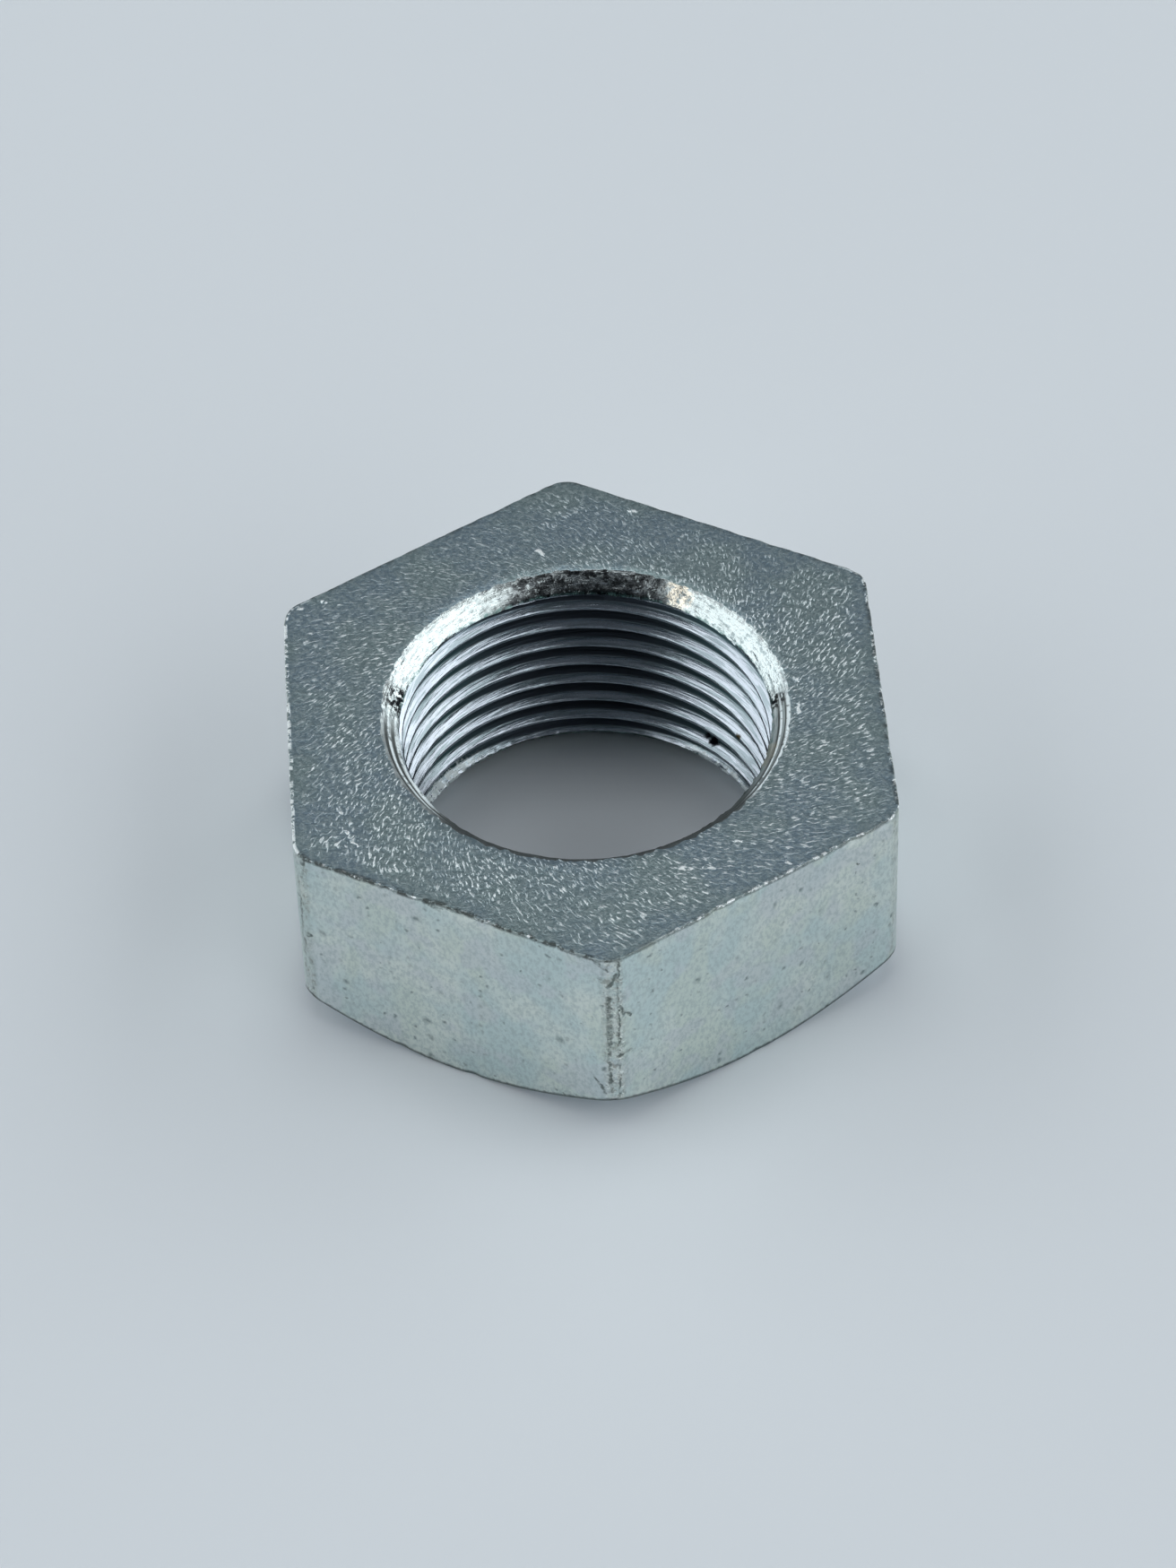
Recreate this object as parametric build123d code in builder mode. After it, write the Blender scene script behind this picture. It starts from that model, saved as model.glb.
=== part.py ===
from build123d import *
import math
import os

# Axle nut: one forged and turned piece of zinc-plated steel. A plain hexagon, flat and
# unchamfered on its upper face, with a turned chamfer round its bearing face below and
# a threaded bore that is countersunk at both ends.
# The bore's axis is Z. The bearing face lies on z = 0, and two corners point along Y.

# Driving dimensions, in millimetres and degrees
across_flats = 34.0           # wrench size
nut_height = 13.5             # from the bearing face to the upper face
corner_radius = 1.8           # rounding of the six upright corners
upper_edge_radius = 0.25      # softened rim of the upper face
bearing_inset = 0.1           # from the flats in to the circle where the chamfer starts
chamfer_angle = 38.0          # slope of the chamfer, from the bearing face
thread_diameter = 22.0        # nominal diameter of the internal thread
thread_pitch = 1.5            # fine pitch, right-hand
countersink_oversize = 0.7    # how far each countersink's rim stands outside the thread
countersink_angle = 90.0      # included angle of both countersinks

# Sizes that follow from them
hexagon_sides = 6
thread_triangle = thread_pitch * math.sin(math.radians(60))   # height of the sharp 60 degree thread
minor_radius = thread_diameter / 2 - thread_triangle * 5 / 8  # crests of the thread, the wall of the bore
countersink_radius = thread_diameter / 2 + countersink_oversize
bearing_radius = across_flats / 2 - bearing_inset
sharp_corner = across_flats / 2 / math.cos(math.pi / hexagon_sides)
chamfer_width = sharp_corner - bearing_radius
chamfer_rise = chamfer_width * math.tan(math.radians(chamfer_angle))

with BuildPart() as axle_nut:
    # Hexagonal blank with rounded corners, its flats facing along X
    with BuildSketch() as plan:
        RegularPolygon(across_flats / 2, hexagon_sides, major_radius=False, rotation=30)
        fillet(plan.vertices(), radius=corner_radius)
    extrude(amount=nut_height)

    # Softened rim of the upper face
    upper_face = axle_nut.faces().sort_by(Axis.Z)[-1]
    fillet(upper_face.edges(), radius=upper_edge_radius)

    # Turned chamfer: a cone cuts the six corners back and leaves curved lower edges
    with BuildSketch(Plane.XZ):
        with BuildLine():
            Polyline(
                (bearing_radius, 0),
                (sharp_corner, 0),
                (sharp_corner, chamfer_rise),
                close=True,
            )
        make_face()
    revolve(axis=Axis.Z, mode=Mode.SUBTRACT)

    # Bore at the thread's minor diameter, countersunk from both faces
    lower_face = axle_nut.faces().sort_by(Axis.Z)[0]
    upper_face = axle_nut.faces().sort_by(Axis.Z)[-1]
    for face in (lower_face, upper_face):
        with Locations(Plane(face)):
            CounterSinkHole(
                minor_radius,
                countersink_radius,
                counter_sink_angle=countersink_angle,
            )

axle_nut.part.label = "axle_nut"

os.makedirs("parts", exist_ok=True)
export_step(axle_nut.part, "parts/axle_nut.step")
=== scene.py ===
import bmesh
import bpy
import functools
import itertools
import math
import numpy as np
from mathutils import Matrix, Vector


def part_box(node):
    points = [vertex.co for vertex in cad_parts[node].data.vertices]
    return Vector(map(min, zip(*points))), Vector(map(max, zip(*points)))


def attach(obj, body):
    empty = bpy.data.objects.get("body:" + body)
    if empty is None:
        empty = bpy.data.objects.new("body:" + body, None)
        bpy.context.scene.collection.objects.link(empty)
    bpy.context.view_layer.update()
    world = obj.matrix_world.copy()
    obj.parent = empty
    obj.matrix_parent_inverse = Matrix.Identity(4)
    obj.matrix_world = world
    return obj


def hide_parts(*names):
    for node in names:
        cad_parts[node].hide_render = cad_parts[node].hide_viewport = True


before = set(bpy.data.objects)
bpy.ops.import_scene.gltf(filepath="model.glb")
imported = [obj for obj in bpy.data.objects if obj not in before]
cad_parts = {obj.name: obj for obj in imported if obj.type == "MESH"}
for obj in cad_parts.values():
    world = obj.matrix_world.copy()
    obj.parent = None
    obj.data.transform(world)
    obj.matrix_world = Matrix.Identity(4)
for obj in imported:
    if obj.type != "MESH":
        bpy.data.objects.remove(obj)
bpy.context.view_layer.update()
print("frame loaded")

mm = 0.001
nutLow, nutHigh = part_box("axle_nut")

# The nut itself. Lengths in millimetres, angles in degrees.
nut = {
    "height": (nutHigh.z - nutLow.z) / mm,
    "apothem": (nutHigh.x - nutLow.x) / mm / 2,  # half the width across flats
    "cornerRadius": 1.8,
    "rimRadius": 0.06,  # softened rim of the upper face
    "bearingInset": 0.1,  # the chamfer starts this far inside the flats
    "chamferAngle": 38.0,
    "rootRadius": 11.4,  # roots of the thread
    "crestRadius": 10.5,
    "crestRound": 0.15,  # rounding of the crests
    "crestRelief": 0.04,  # depth that the grooves keep where they run out
    "threadAngle": 60.0,
    "pitch": 1.5,
    "firstCrest": 0.95,  # depth of the top crest's middle on the +X side
    "runOut": (0.9, 1.8),  # depths between which the grooves reach their full depth
    "sinkRadius": 11.7,  # rim of each countersink
    "sinkBlend": 0.05,
    "columns": 520,  # divisions once round
    "cornerCrowding": 0.5,  # how much closer the columns stand at the corners
    "bearingRows": 9,
    "chamferRows": 6,
    "flatRows": 30,
    "rimRows": 4,
    "faceRows": 16,
    "arcSteps": 4,  # rows on half a crest and on a flank
    "mergeDistance": 2e-4,
    "sharpAngle": 38.0,
}

# Wear that is modelled in the surface. Depths and widths in millimetres; a grain is the
# cell of the noise that shapes it.
wear = {
    "ragged": 0.12,  # torn rims of the countersinks
    "raggedWidth": 0.18,
    "tornGrain": 0.32,
    "fineGrain": 0.2,
    "sinkSoftness": 0.05,  # how far the countersinks' rims are worn down
    "softWidth": 0.16,
    "lip": 0.08,  # torn edge between the countersinks and the thread
    "lipWidth": 0.2,
    "rings": 0.035,  # ridges round the countersinks, on the side nearest the front
    "ringSpacing": 0.36,
    "ringsEnd": 1.0,  # where they fade out, along Y
    "toolMarks": 0.06,  # chatter on the countersinks
    "toolGrain": 0.17,
    "toolLength": 5,  # how much longer than wide it is
    "galling": 0.08,  # roughened upright corners, for each corner in turn from +X
    "gallingShare": (0.5, 0.4, 0.5, 0.9, 1.0, 0.6),
    "gallingShift": 0.12,  # how far round from the corner the galled strip stands
    "gallingWidth": 0.55,
    "gallingGrain": 0.3,
    "gallingLength": 2.5,
    "edgeDents": 0.07,  # fine unevenness along the upper rim
    "dentWidth": 0.35,
    "dentGrain": 0.9,
    "rimDirt": (0.75, 0.5, 0.5, 0.15, 0.9, 0.45),  # dark share of the rim, flat by flat from +X
    "nicks": (  # angle round the bore, height, width, depth
        (238.0, 13.4, 0.55, 0.20),
        (243.0, 13.4, 0.45, 0.14),
        (227.0, 13.3, 0.30, 0.12),
        (261.0, 13.4, 0.30, 0.12),
        (291.0, 13.4, 0.35, 0.14),
        (296.0, 13.4, 0.25, 0.12),
        (321.0, 13.4, 0.30, 0.14),
        (327.0, 13.4, 0.35, 0.12),
        (243.0, 0.4, 0.40, 0.14),
        (228.0, 0.6, 0.30, 0.10),
        (300.0, 0.5, 0.35, 0.12),
    ),
}


def latticeNoise(points, cell, seed):
    # Random numbers from -1 to 1 on a cubic lattice, blended between the eight lattice
    # points round each position with smooth weights.
    table = np.random.default_rng(seed).uniform(-1, 1, (64, 64, 64))
    place = points / cell
    base = np.floor(place).astype(int)
    part = place - base
    part = part * part * (3 - 2 * part)
    total = np.zeros(points.shape[:-1])
    for corner in itertools.product((0, 1), repeat=3):
        i, j, k = np.moveaxis((base + corner) % 64, -1, 0)
        total += np.prod(np.where(corner, part, 1 - part), axis=-1) * table[i, j, k]
    return total


def columnAngles(count, crowding):
    # Once round in equal steps, pulled towards the six corners:
    # angle = step - crowding / 6 * sin(6 * (step - 30 degrees)).
    steps = np.linspace(0, 2 * np.pi, count + 1)
    return steps - crowding / 6 * np.sin(6 * (steps - math.radians(30)))


def hexagonRadius(angle, apothem, rounding):
    # Distance from the axis to a hexagon with rounded corners: on a flat, apothem /
    # cos(angle from its normal), and near a corner, where the ray meets its circle.
    fromFlat = (angle + math.pi / 6) % (math.pi / 3) - math.pi / 6
    centre = (apothem - rounding) / math.cos(math.pi / 6)
    fromCorner = math.pi / 6 - np.abs(fromFlat)
    reach = np.sqrt(np.maximum(rounding**2 - (centre * np.sin(fromCorner)) ** 2, 0))
    flatEnd = np.arctan2(centre * math.sin(math.pi / 6), apothem)
    onCorner = np.abs(fromFlat) > flatEnd
    return np.where(onCorner, centre * np.cos(fromCorner) + reach, apothem / np.cos(fromFlat))


def chamferHeight(size, outline):
    # How high the chamfer's cone cuts an outline: (outline - bearing radius) * tan(angle).
    bearing = size["apothem"] - size["bearingInset"]
    return (outline - bearing) * math.tan(math.radians(size["chamferAngle"]))


def threadProfile(size):
    # Steps along the axis over one pitch: equal turns round the crest's arc, then equal
    # steps down the flank, the root, and back up.
    slope, rounding = math.radians(size["threadAngle"]), size["crestRound"]
    edge = rounding * math.sin(slope)
    fall = size["rootRadius"] - size["crestRadius"] - rounding * (1 - math.cos(slope))
    arc = rounding * np.sin(np.linspace(0, slope, size["arcSteps"]))
    flank = np.linspace(edge, edge + fall / math.tan(slope), size["arcSteps"])[1:]
    half = np.concatenate([arc, flank, [size["pitch"] / 2]])
    return np.concatenate([half, size["pitch"] - half[-2:0:-1]])


def threadRadius(size, fromCrest):
    # On the round crest, crest + rounding - root of (rounding squared - distance
    # squared), then a straight flank down to the root.
    slope, rounding = math.radians(size["threadAngle"]), size["crestRound"]
    edge = rounding * math.sin(slope)
    arc = rounding - np.sqrt(np.maximum(rounding**2 - fromCrest**2, 0))
    flank = rounding * (1 - math.cos(slope)) + (fromCrest - edge) * math.tan(slope)
    return np.minimum(size["crestRadius"] + np.where(fromCrest < edge, arc, flank), size["rootRadius"])


def boreRows(size, angle):
    # The threaded wall. Each row is one point of the thread's profile carried once
    # round while it climbs one pitch, so it ends where the row one turn up starts. The
    # grooves run out towards both ends. The radius is the thread's or the countersink's,
    # eased: (thread + sink + root of ((thread - sink) squared + blend squared)) / 2.
    # What would lie past a face is gathered on its rim.
    pitch, height = size["pitch"], size["height"]
    turns = np.arange(-2, math.ceil(height / pitch) + 1)
    depth = (turns[:, None] * pitch + threadProfile(size)).reshape(-1, 1)
    fromCrest = np.abs((depth + pitch / 2) % pitch - pitch / 2)
    z = height - size["firstCrest"] - depth + pitch * angle / (2 * np.pi)
    z = np.clip(z, 0, height)
    below = np.minimum(z, height - z)
    fullDepth = np.clip((below - size["runOut"][0]) / (size["runOut"][1] - size["runOut"][0]), 0, 1)
    fullDepth = fullDepth * fullDepth * (3 - 2 * fullDepth)
    shallow = size["crestRadius"] + size["crestRelief"]
    deepest = shallow + (size["rootRadius"] - shallow) * fullDepth
    thread = np.minimum(threadRadius(size, fromCrest), deepest)
    sink = size["sinkRadius"] - below
    blended = (thread + sink + np.sqrt((thread - sink) ** 2 + size["sinkBlend"] ** 2)) / 2
    return np.where(below > 0, blended, size["sinkRadius"]), z, sink > thread


def outerRows(size, angle):
    # The rest of the way round the section, from the lower rim out over the bearing
    # face, up the chamfer and the flats, over the softened rim and in over the upper
    # face. Each band is a pair of arrays, radius and height, one row for each step.
    height, apothem, soft = size["height"], size["apothem"], size["rimRadius"]
    rounding, sink = size["cornerRadius"], size["sinkRadius"]
    outline = hexagonRadius(angle, apothem, rounding)
    bearing, chamferTop = apothem - size["bearingInset"], chamferHeight(size, outline)
    innerOutline = hexagonRadius(angle, apothem - soft, rounding - soft)

    def steps(count, eased):
        s = np.linspace(0, 1, count)[:, None]
        return (1 - np.cos(np.pi * s)) / 2 if eased else s

    s, level = steps(size["bearingRows"], False), np.zeros_like(angle)
    bands = {"bearingFace": (sink + (bearing - sink) * s + level, 0 * s + level)}
    s = steps(size["chamferRows"], False)
    bands["chamfer"] = bearing + (outline - bearing) * s, chamferTop * s
    s = steps(size["flatRows"], True)
    bands["flats"] = outline + 0 * s, chamferTop + (height - soft - chamferTop) * s
    turn = steps(size["rimRows"], False) * np.pi / 2
    inset = soft * (1 - np.cos(turn))
    drop = soft * (1 - np.sin(turn))
    bands["rim"] = hexagonRadius(angle, apothem - inset, rounding - inset), height - drop + level
    s = steps(size["faceRows"], True)
    bands["upperFace"] = innerOutline + (sink - innerOutline) * s, height + 0 * s + level
    return bands


def gallingPlace(angle, outline, wear):
    # How far round a point is from its corner's galled strip, and how galled that is.
    share = np.array(wear["gallingShare"])[(angle // (np.pi / 3)).astype(int) % 6]
    return (angle % (np.pi / 3) - np.pi / 6) * outline - wear["gallingShift"], share


def wornPoints(points, sunk, size, wear):
    # Moves points, in millimetres, by the wear: noise that fades with the distance from
    # each rim, corner or nick. Nothing moves out past the hexagon or an end face.
    x, y, z = np.moveaxis(points, -1, 0)
    radius, angle = np.hypot(x, y), np.arctan2(y, x) % (2 * np.pi)
    height, outline = size["height"], hexagonRadius(angle, size["apothem"], size["cornerRadius"])

    def near(distance, width):
        return np.exp(-((distance / width) ** 2))

    # torn rims of the countersinks, worn down a little all round
    below = np.minimum(z, height - z)
    fromRim = np.hypot(radius - size["sinkRadius"], below)
    torn = latticeNoise(points, wear["tornGrain"], 3) + 0.8 * latticeNoise(points, wear["fineGrain"], 4)
    change = wear["ragged"] * torn * near(fromRim, wear["raggedWidth"])
    drop = wear["sinkSoftness"] * near(fromRim, wear["softWidth"]) * np.where(z > height / 2, -1, 1)
    # torn edge where a countersink runs into the thread
    lipDepth = size["sinkRadius"] - size["crestRadius"] - size["sinkBlend"]
    fromLip = np.hypot(radius - size["crestRadius"], below - lipDepth)
    change += wear["lip"] * torn * near(fromLip, wear["lipWidth"])
    # chatter on the countersinks: noise drawn out along the turning
    turned = np.stack([x / wear["toolLength"], y / wear["toolLength"], radius], -1)
    inner = sunk * (1 - near(fromRim, wear["lipWidth"]))
    change += wear["toolMarks"] * latticeNoise(turned, wear["toolGrain"], 5) * inner
    # ridges round the lower arcs, which fade out towards the back
    front = 1 / (1 + np.exp((y - wear["ringsEnd"]) / 0.6))
    ridges = np.sin((radius - size["crestRadius"]) * 2 * np.pi / wear["ringSpacing"])
    change += wear["rings"] * ridges * inner * front

    # galled corners
    fromStrip, share = gallingPlace(angle, outline, wear)
    upright = np.stack([x, y, z / wear["gallingLength"]], -1)
    rough = latticeNoise(upright, wear["gallingGrain"], 6) + 0.5 * latticeNoise(points, 0.25, 7)
    rough = np.maximum(rough, -0.1) + 0.1
    outside = near(radius - outline, 0.4)
    change -= wear["galling"] * share * rough * near(fromStrip, wear["gallingWidth"]) * outside

    # the upper rim's unevenness and the nicks
    onRim = outside * near(height - z, wear["dentWidth"])
    dent = np.maximum(latticeNoise(points, wear["dentGrain"], 8), 0)
    dent += np.maximum(latticeNoise(points, 0.4, 9), 0)
    change -= wear["edgeDents"] * dent * onRim
    for nickAngle, nickHeight, width, depth in wear["nicks"]:
        nickAngle = math.radians(nickAngle)
        reach = hexagonRadius(np.array(nickAngle), size["apothem"], size["cornerRadius"])
        centre = np.array([reach * math.cos(nickAngle), reach * math.sin(nickAngle), nickHeight])
        change -= depth * near(np.linalg.norm(points - centre, axis=-1), width)
    scale = (radius + change) / radius
    return np.stack([x * scale, y * scale, z + drop], -1)


def gridFaces(index):
    # The four corners of every cell of a grid, in turn.
    corners = np.stack([index[:-1, :-1], index[:-1, 1:], index[1:, 1:], index[1:, :-1]], -1)
    return corners.reshape(-1, 4)


def surfaceMaps(points, size, wear):
    # What the finishes read at each point: the distance from the nearest galled strip's
    # middle, how galled it is, the distance in from the hexagon's edge, the rim's dirt,
    # the distance from the countersinks' cones and the height above the lower edge.
    x, y, z = points.T
    radius, angle = np.hypot(x, y), np.arctan2(y, x) % (2 * np.pi)
    outline = hexagonRadius(angle, size["apothem"], size["cornerRadius"])
    fromStrip, share = gallingPlace(angle, outline, wear)
    flat = ((angle + np.pi / 6) // (np.pi / 3)).astype(int) % 6
    inside = radius < size["sinkRadius"] + 1
    aboveCone = radius + np.minimum(z, size["height"] - z) - size["sinkRadius"]
    return {
        "cornerGap": np.abs(fromStrip),
        "galled": share,
        "edgeGap": outline - radius,
        "rimDirt": np.array(wear["rimDirt"])[flat],
        "coneGap": aboveCone * inside,
        "footGap": z - chamferHeight(size, outline),
    }


def nutMesh(size, wear):
    # One closed skin: every band is a grid of rows and columns, the grids share their
    # first and last rows, and the seam and the shared rows are merged at the end.
    angle = columnAngles(size["columns"], size["cornerCrowding"])
    radius, z, sunk = boreRows(size, angle)
    bands = [(radius, z, sunk, 2)]
    kinds = {"bearingFace": 1, "chamfer": 1, "flats": 0, "rim": 0, "upperFace": 1}
    for name, (radius, z) in outerRows(size, angle).items():
        bands.append((radius, z, np.zeros(z.shape, bool), kinds[name]))

    points, plain, faces, finishes, first = [], [], [], [], 0
    for radius, z, sunk, kind in bands:
        rows, columns = z.shape
        place = np.stack([radius * np.cos(angle), radius * np.sin(angle), z], -1)
        plain.append(place.reshape(-1, 3))
        points.append(wornPoints(place, sunk, size, wear).reshape(-1, 3))
        index = first + np.arange(rows * columns).reshape(rows, columns)
        faces.append(gridFaces(index))
        finishes.append(np.full(len(faces[-1]), kind))
        first += rows * columns
    points = np.concatenate(points) * mm + [0, 0, nutLow.z]
    faces, finishes = np.concatenate(faces), np.concatenate(finishes)

    mesh = bpy.data.meshes.new("axleNutSkin")
    mesh.vertices.add(len(points))
    mesh.vertices.foreach_set("co", points.ravel())
    mesh.loops.add(faces.size)
    mesh.loops.foreach_set("vertex_index", faces.ravel())
    mesh.polygons.add(len(faces))
    mesh.polygons.foreach_set("loop_start", np.arange(len(faces)) * 4)
    mesh.polygons.foreach_set("material_index", finishes)
    for name, values in surfaceMaps(np.concatenate(plain), size, wear).items():
        mesh.attributes.new(name, "FLOAT", "POINT").data.foreach_set("value", values)
    mesh.update(calc_edges=True)

    skin = bmesh.new()
    skin.from_mesh(mesh)
    bmesh.ops.remove_doubles(skin, verts=skin.verts, dist=size["mergeDistance"] * mm)
    bmesh.ops.recalc_face_normals(skin, faces=skin.faces)
    skin.to_mesh(mesh)
    skin.free()
    mesh.shade_smooth()
    mesh.set_sharp_from_angle(angle=math.radians(size["sharpAngle"]))
    return mesh


def newObject(name, data):
    made = bpy.data.objects.new(name, data)
    bpy.context.scene.collection.objects.link(made)
    return made


nutPiece = newObject("axle_nut_worked", nutMesh(nut, wear))
print("nut:", len(nutPiece.data.polygons), "faces")


# Shader helpers: a node, whose kind is named without its prefix, is added with its inputs
# filled or linked in one call, in the node tree that its inputs come from.
def add(tree, kind, inputs=None, **settings):
    node = tree.nodes.new("ShaderNode" + kind)
    for name, value in settings.items():
        setattr(node, name, value)
    for name, value in (inputs or {}).items():
        if isinstance(value, bpy.types.NodeSocket):
            tree.links.new(value, node.inputs[name])
        else:
            node.inputs[name].default_value = value
    return node


def addFor(values, kind, operation):
    tree = next(value.id_data for value in values if isinstance(value, bpy.types.NodeSocket))
    return add(tree, kind, dict(enumerate(values)), operation=operation).outputs


def calc(operation, *values):
    return addFor(values, "Math", operation)[0]


def joined(operation, values):
    # One operation carried through several values, from left to right.
    return functools.reduce(lambda total, value: calc(operation, total, value), values)


def times(*values):
    return joined("MULTIPLY", values)


def plus(*values):
    return joined("ADD", values)


def strongest(*masks):
    return joined("MAXIMUM", masks)


def minus(first, second):
    return calc("SUBTRACT", first, second)


def gapTo(value, target):
    return calc("ABSOLUTE", minus(value, target))


def vector(operation, *values):
    outputs = addFor(values, "VectorMath", operation)
    return outputs["Value" if operation in ("LENGTH", "DOT_PRODUCT", "DISTANCE") else "Vector"]


def fade(value, start, end):
    # 0 at start, 1 at end and eased between; start may be the larger of the two.
    inputs = {0: value, 1: start, 2: end}
    return add(value.id_data, "MapRange", inputs, interpolation_type="SMOOTHSTEP").outputs[0]


def blend(share, first, second):
    inputs = {0: share, 6: first, 7: second}
    return add(share.id_data, "Mix", inputs, data_type="RGBA").outputs[2]


def noise(point, scale, detail=2.0, roughness=0.5):
    inputs = {"Vector": point, "Scale": scale, "Detail": detail, "Roughness": roughness}
    return add(point.id_data, "TexNoise", inputs).outputs[0]


def patches(point, scale, detail, roughness, start, end):
    # Patches of noise: 0 where its level is start, 1 where it is end.
    return fade(noise(point, scale, detail, roughness), start, end)


def stretched(point, factors):
    return vector("MULTIPLY", point, factors)


def wobbled(point, reach):
    # The point moved about by noise, up to half of reach each way, for bending a pattern.
    bent = add(point.id_data, "TexNoise", {"Vector": point, "Scale": 2.2, "Detail": 2.0})
    offset = vector("SUBTRACT", bent.outputs["Color"], (0.5, 0.5, 0.5))
    return vector("ADD", point, stretched(offset, reach))


def separate(value):
    return add(value.id_data, "SeparateXYZ", {0: value}).outputs


def reading(tree, name):
    return add(tree, "Attribute", attribute_name=name).outputs["Fac"]


def startGroup(name, takes, gives):
    # A shader group; each socket's starting value says what it holds: a number, a
    # vector of three or a colour of four.
    kinds = {1: "NodeSocketFloat", 3: "NodeSocketVector", 4: "NodeSocketColor"}
    tree = bpy.data.node_groups.new(name, "ShaderNodeTree")
    for label, value in takes.items():
        socket = tree.interface.new_socket(label, in_out="INPUT", socket_type=kinds[np.size(value)])
        socket.default_value = value
    for label, value in gives.items():
        tree.interface.new_socket(label, in_out="OUTPUT", socket_type=kinds[np.size(value)])
    return tree, tree.nodes.new("NodeGroupInput").outputs, tree.nodes.new("NodeGroupOutput").inputs


def useGroup(name, inputs):
    tree = inputs["Point"].id_data
    return add(tree, "Group", inputs, node_tree=bpy.data.node_groups[name]).outputs


def makePlatingClouds():
    # Two tones of zinc, blended by soft noise with blotches of the given size.
    grey = (0.5, 0.5, 0.5, 1)
    takes = {"Point": (0, 0, 0), "Size": 3.0, "Low": grey, "High": grey, "Softness": 0.2}
    tree, given, out = startGroup("platingClouds", takes, {"Colour": grey})
    cloud = noise(given["Point"], calc("DIVIDE", 1.0, given["Size"]), 3.0, 0.55)
    low = minus(0.5, given["Softness"])
    high = plus(0.5, given["Softness"])
    tree.links.new(blend(fade(cloud, low, high), given["Low"], given["High"]), out["Colour"])


def makePits():
    # Small round pits at random places: 1 inside a pit. Only the given share of the
    # cells, which are Spacing wide, holds one.
    takes = {"Point": (0, 0, 0), "Spacing": 1.0, "Size": 0.1, "Share": 0.5}
    tree, given, out = startGroup("pits", takes, {"Mask": 0.0})
    scale = calc("DIVIDE", 1.0, given["Spacing"])
    cells = add(tree, "TexVoronoi", {"Vector": given["Point"], "Scale": scale})
    colour = add(tree, "SeparateColor", {0: cells.outputs["Color"]})
    distance = times(cells.outputs["Distance"], given["Spacing"])
    reach = times(given["Size"], plus(colour.outputs[1], 0.5))
    inside = fade(distance, reach, times(reach, 0.1))
    chosen = calc("LESS_THAN", colour.outputs[0], given["Share"])
    tree.links.new(times(inside, chosen), out["Mask"])


def makeScratch():
    # A straight scratch between two points: 1 along its line, fading out at Width.
    takes = {"Point": (0, 0, 0), "Start": (0, 0, 0), "End": (1, 0, 0), "Width": 0.1}
    tree, given, out = startGroup("scratch", takes, {"Mask": 0.0})
    line = vector("SUBTRACT", given["End"], given["Start"])
    offset = vector("SUBTRACT", given["Point"], given["Start"])
    passed, whole = (vector("DOT_PRODUCT", one, line) for one in (offset, line))
    share = add(tree, "Clamp", {0: calc("DIVIDE", passed, whole)}).outputs[0]
    nearest = add(tree, "VectorMath", {0: line, 3: share}, operation="SCALE").outputs[0]
    away = vector("DISTANCE", offset, nearest)
    tree.links.new(fade(away, given["Width"], times(given["Width"], 0.4)), out["Mask"])


def makeTurning():
    # Lathe marks round the Z axis: noise that is fine across the radius and long round
    # the turn, so a mark runs about Length before it fades.
    takes = {"Point": (0, 0, 0), "Spacing": 0.1, "Length": 3.0}
    tree, given, out = startGroup("turning", takes, {"Height": 0.0, "Radius": 0.0})
    flat = stretched(given["Point"], (1, 1, 0))
    radius = vector("LENGTH", flat)
    across = calc("DIVIDE", radius, given["Spacing"])
    along = [calc("DIVIDE", part, given["Length"]) for part in separate(flat)[:2]]
    drawn = add(tree, "CombineXYZ", {0: along[0], 1: along[1], 2: across}).outputs[0]
    tree.links.new(noise(drawn, 1.0, 3.0, 0.6), out["Height"])
    tree.links.new(radius, out["Radius"])


def makeSpiral():
    # Millimetres measured along and across a spiral that leans from the radius by Lean
    # degrees, true to scale at MiddleRadius.
    takes = {"Point": (0, 0, 0), "Lean": 45.0, "MiddleRadius": 14.0}
    tree, given, out = startGroup("spiral", takes, {"Along": 0.0, "Across": 0.0})
    x, y = separate(given["Point"])[:2]
    radius = vector("LENGTH", stretched(given["Point"], (1, 1, 0)))
    outward = calc("LOGARITHM", radius, math.e)
    turned = calc("ARCTAN2", x, times(y, -1.0))
    lean = calc("RADIANS", given["Lean"])
    cosine, sine = calc("COSINE", lean), calc("SINE", lean)
    along = plus(times(outward, cosine), times(turned, sine))
    across = minus(times(turned, cosine), times(outward, sine))
    tree.links.new(times(along, given["MiddleRadius"]), out["Along"])
    tree.links.new(times(across, given["MiddleRadius"]), out["Across"])


def makeSmudge():
    # A ragged soft patch round a centre: 1 inside, broken up by noise towards Reach.
    takes = {"Point": (0, 0, 0), "Centre": (0, 0, 0), "Reach": 1.0, "Grain": 0.3}
    tree, given, out = startGroup("smudge", takes, {"Mask": 0.0})
    away = vector("DISTANCE", given["Point"], given["Centre"])
    torn = noise(given["Point"], calc("DIVIDE", 1.0, given["Grain"]), 2.0, 0.6)
    torn = times(minus(torn, 0.5), 1.2)
    away = plus(calc("DIVIDE", away, given["Reach"]), torn)
    tree.links.new(fade(away, 1.0, 0.45), out["Mask"])


for makeGroup in (makePlatingClouds, makePits, makeScratch, makeTurning, makeSpiral, makeSmudge):
    makeGroup()
print("shader groups:", len(bpy.data.node_groups))

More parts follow.
